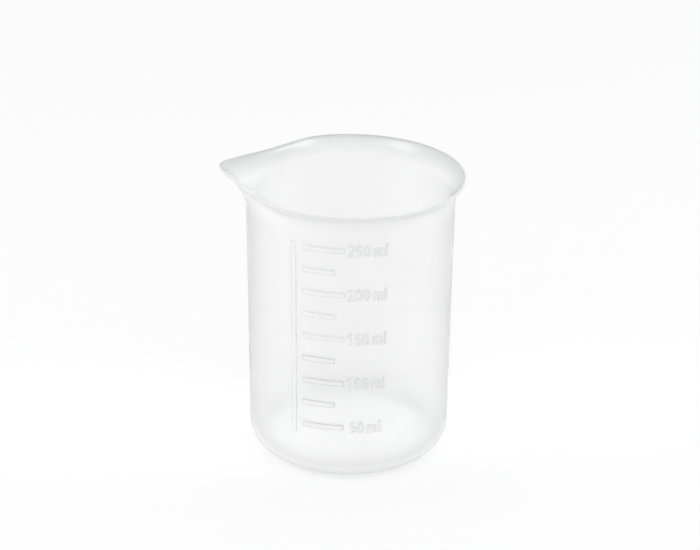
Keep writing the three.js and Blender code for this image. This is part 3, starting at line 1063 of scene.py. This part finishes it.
class BEAKER_OT_rule(bpy.types.Operator):
    """Raises the upright rule at the left of the scale"""

    bl_idname = "beaker.rule"
    bl_label = "Rule"

    def execute(self, context):
        sizes = context.scene.beaker_scale
        middle, size = rolled_out(*RULE_BOX)
        # The rule's share of painted shade along its edges
        points = [(middle, True, sizes.rule_shade)]
        steps = (2, sizes.bar_steps)
        rule = make_bars(context, "beaker_scale_rule", points, size, size, steps)
        hand_over(rule, "scale", "scale_rule")
        return {"FINISHED"}


class BEAKER_OT_marks(bpy.types.Operator):
    """Raises the nine level marks, long at each label and short between"""

    bl_idname = "beaker.marks"
    bl_label = "Marks"

    def execute(self, context):
        sizes = context.scene.beaker_scale
        points = []
        for name in MARKS:
            left, right, bottom, top = spread([name])
            middle, size = rolled_out(left, right, bottom, top)
            # The marks' share of painted shade along their edges, larger on the lower half
            cut = sizes.low_mark_shade if top < SCALE_MIDDLE else sizes.high_mark_shade
            points.append((middle, name in LABELS, cut))
        long, short = [
            (SCALE_RADIUS * (right - left), size[1], 0)
            for left, right, *_ in (LONG_BOX, SHORT_BOX)
        ]
        steps = (sizes.bar_steps, 2)
        marks = make_bars(context, "beaker_scale_marks", points, long, short, steps)
        hand_over(marks, "scale", *MARKS)
        return {"FINISHED"}


class BEAKER_OT_labels(bpy.types.Operator):
    """Raises the figures and letters beside the long marks, one piece for each label"""

    bl_idname = "beaker.labels"
    bl_label = "Labels"

    def execute(self, context):
        for mark in LABELS:
            self.raise_label(context, mark.replace("mark_", "label_"))
        return {"FINISHED"}

    def raise_label(self, context, name):
        """Gives a label's CAD pieces a margin of painted shade along their top edges, and runs them
        into the wall.
        """
        vessel, sizes = context.scene.beaker_vessel, context.scene.beaker_scale
        nodes = node_names(name + "_")
        shape = bmesh.new()
        for node in nodes:
            shape.from_mesh(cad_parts[node].data)
        bmesh.ops.remove_doubles(shape, verts=shape.verts, dist=SAME_CORNER)
        bmesh.ops.dissolve_limit(shape, angle_limit=SAME_FACE, verts=shape.verts, edges=shape.edges)
        edge_shade_layer = shape.faces.layers.float.new(EDGE)

        def over_wall(point):
            return Vector((point.x, point.y)).length - outside_radius(vessel, point.z)

        top = {vertex for vertex in shape.verts if over_wall(vertex.co) > sizes.relief / 2}
        for vertex in set(shape.verts) - top:
            flat = Vector((vertex.co.x, vertex.co.y, 0))
            vertex.co -= flat.normalized() * (over_wall(vertex.co) + sizes.sink)
        tops = [face for face in shape.faces if top.issuperset(face.verts)]
        # The sides and the top margin take painted shade along the label's edges; the rest of the
        # top takes none
        for face in shape.faces:
            if not top.isdisjoint(face.verts):
                face[edge_shade_layer] = sizes.side_shade * sizes.label_cut
        for face in tops:
            face[edge_shade_layer] = 0.0
        margin = bmesh.ops.inset_region(
            shape,
            faces=tops,
            thickness=sizes.label_margin,
            use_boundary=True,
            use_even_offset=True,
        )
        for face in margin["faces"]:
            face[edge_shade_layer] = sizes.label_cut
        shape.normal_update()
        label = new_mesh_object("beaker_" + name)
        shape.to_mesh(label.data)
        shape.free()
        label.data.materials.append(scale_finish())
        hand_over(label, "scale", *nodes)


# The stage, in metres, with the camera's sensor in millimetres

FLOOR_GAP = 0.1 * MM
LEFT_LAMP = (-1.80, -1.02, 2.28)
RIGHT_LAMP = (2.22, -0.09, 2.13)
SENSOR_WIDTH = 36
NEAREST, FURTHEST = 0.01, 100


class BEAKER_OT_stage(bpy.types.Operator):
    """Sets up the floor, the lamps, the white surround and the camera"""

    bl_idname = "beaker.stage"
    bl_label = "Stage"

    def execute(self, context):
        settings = context.scene.beaker_stage
        context.scene.view_settings.view_transform = "Standard"
        half = settings.floor_size / 2
        corners = [(-half, -half), (half, -half), (half, half), (-half, half)]
        points = [(x, y, -FLOOR_GAP) for x, y in corners]
        floor = new_mesh_object("stage_floor", points, [(0, 1, 2, 3)])
        floor.data.materials.append(white_board())
        self.light(context, settings)
        self.aim(context, settings)
        return {"FINISHED"}

    def light(self, context, settings):
        """A white surround, and large lamps at the left and right."""
        world = bpy.data.worlds.new("white_surround")
        world.use_nodes = True
        tree = world.node_tree
        tree.nodes.clear()
        sky = add_node(
            tree,
            "ShaderNodeBackground",
            {"Color": (*linear("FFFFFF"), 1.0), "Strength": settings.sky_fill},
        )[0]
        add_node(tree, "ShaderNodeOutputWorld", {"Surface": sky})
        context.scene.world = world
        middle = Vector((0, 0, settings.middle_height))
        lamps = {
            "lamp_left": (LEFT_LAMP, settings.left_power),
            "lamp_right": (RIGHT_LAMP, settings.right_power),
        }
        for name, (place, power) in lamps.items():
            lamp = bpy.data.lights.new(name, "AREA")
            lamp.shape = "RECTANGLE"
            lamp.size = settings.lamp_width
            lamp.size_y = settings.lamp_length
            lamp.energy = power
            thing = bpy.data.objects.new(name, lamp)
            thing.location = place
            thing.rotation_euler = (Vector(place) - middle).to_track_quat("Z", "Y").to_euler()
            context.scene.collection.objects.link(thing)

    def aim(self, context, settings):
        """The camera at the photograph's place."""
        camera = bpy.data.cameras.new("camera")
        camera.lens = settings.lens
        camera.sensor_width = SENSOR_WIDTH
        camera.sensor_fit = "HORIZONTAL"
        camera.clip_start = NEAREST
        camera.clip_end = FURTHEST
        thing = bpy.data.objects.new("camera", camera)
        turn = Matrix.Rotation(settings.azimuth, 4, "Z")
        back = Vector((0, -math.cos(settings.elevation), math.sin(settings.elevation)))
        place = turn @ (Vector((0, 0, settings.middle_height)) + back * settings.distance)
        look = (
            turn
            @ Matrix.Rotation(settings.pitch, 4, "X")
            @ Matrix.Rotation(settings.roll, 4, "Z")
        )
        thing.matrix_world = Matrix.Translation(place) @ look
        context.scene.collection.objects.link(thing)
        context.scene.camera = thing


# The add-on


class BEAKER_PT_panel(bpy.types.Panel):
    """Lists the beaker's pieces"""

    bl_idname = "BEAKER_PT_panel"
    bl_label = "Measuring Beaker"
    bl_space_type = "VIEW_3D"
    bl_region_type = "UI"
    bl_category = "Beaker"

    def draw(self, context):
        for operator in OPERATORS:
            self.layout.operator(operator.bl_idname)
        for group in GROUPS:
            settings = getattr(context.scene, group)
            for name in settings.__annotations__:
                self.layout.prop(settings, name)


GROUPS = {
    "beaker_vessel": BeakerVesselSizes,
    "beaker_scale": BeakerScaleSizes,
    "beaker_finish": BeakerFinish,
    "beaker_stage": BeakerStageSettings,
}
OPERATORS = [BEAKER_OT_vessel, BEAKER_OT_rule, BEAKER_OT_marks, BEAKER_OT_labels, BEAKER_OT_stage]
CLASSES = [*GROUPS.values(), *OPERATORS, BEAKER_PT_panel]


def register():
    """Makes the settings, the operators and the panel known."""
    for kind in CLASSES:
        bpy.utils.register_class(kind)
    for name, group in GROUPS.items():
        setattr(bpy.types.Scene, name, PointerProperty(type=group))


def unregister():
    """Takes them away again."""
    for name in GROUPS:
        delattr(bpy.types.Scene, name)
    for kind in reversed(CLASSES):
        bpy.utils.unregister_class(kind)


def main():
    """Builds every piece over the frame."""
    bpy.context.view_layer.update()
    register()
    bpy.ops.beaker.vessel()
    bpy.ops.beaker.rule()
    bpy.ops.beaker.marks()
    bpy.ops.beaker.labels()
    bpy.ops.beaker.stage()
    bpy.context.view_layer.update()


if __name__ == "__main__":
    main()
